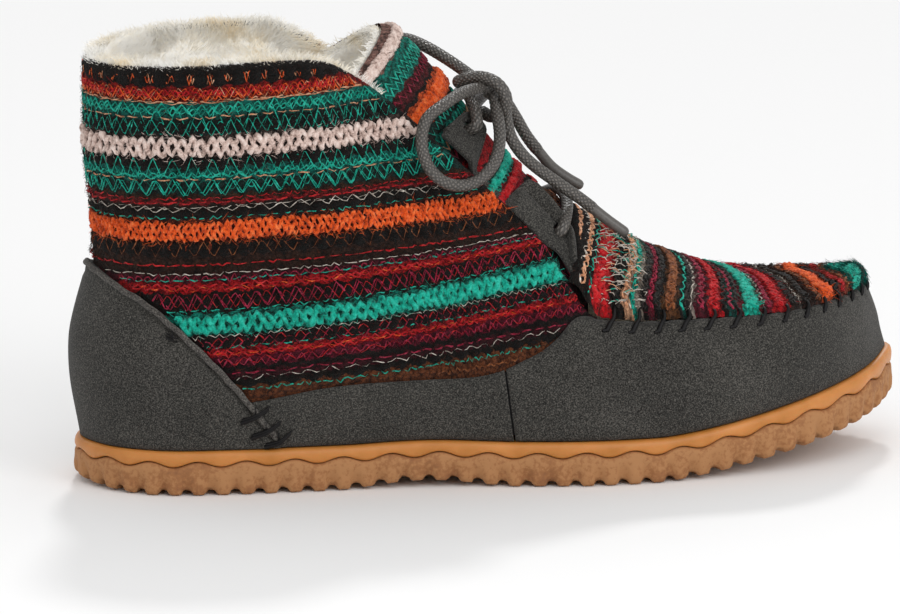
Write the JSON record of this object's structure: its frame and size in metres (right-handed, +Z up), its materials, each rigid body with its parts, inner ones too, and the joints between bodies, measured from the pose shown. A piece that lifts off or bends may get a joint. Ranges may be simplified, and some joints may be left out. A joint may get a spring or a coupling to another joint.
{
  "type": "moccasin ankle boot",
  "caption": "Right-foot moccasin ankle boot with a striped knit upper, charcoal suede toe and heel, pile lining, tied laces and a lugged gum rubber sole.",
  "frame": {"origin": "centre of the heel's flat patch on the ground", "axes": "+X from heel to toe, +Z up, the lateral (outer) side at -Y and the medial at +Y"},
  "size_m": [0.2698, 0.0906, 0.1433],
  "materials": {
    "gum_rubber": "moulded, rough sidewall",
    "amber_rubber": "smooth, satin",
    "felt": "pile-covered cushion",
    "striped_knit": "chunky striped knit",
    "suede": "napped suede",
    "waxed_cord": "braided, waxed"
  },
  "bodies": {
    "root": {"outsole": "gum_rubber", "midsole": "amber_rubber", "insole": "felt", "upper": "striped_knit", "vamp": "suede", "foxing_lateral": "suede", "foxing_medial": "suede", "heel_counter": "suede", "plug": "striped_knit", "tongue": "striped_knit", "eyestay_lateral": "suede", "eyestay_medial": "suede", "lace_bar_lower": "waxed_cord", "lace_bar_upper": "waxed_cord", "lace_knot": "waxed_cord", "lace_loop_lateral": "waxed_cord", "lace_loop_medial": "waxed_cord", "lace_end_near": "waxed_cord", "lace_end_far": "waxed_cord"}
  },
  "joints": []
}
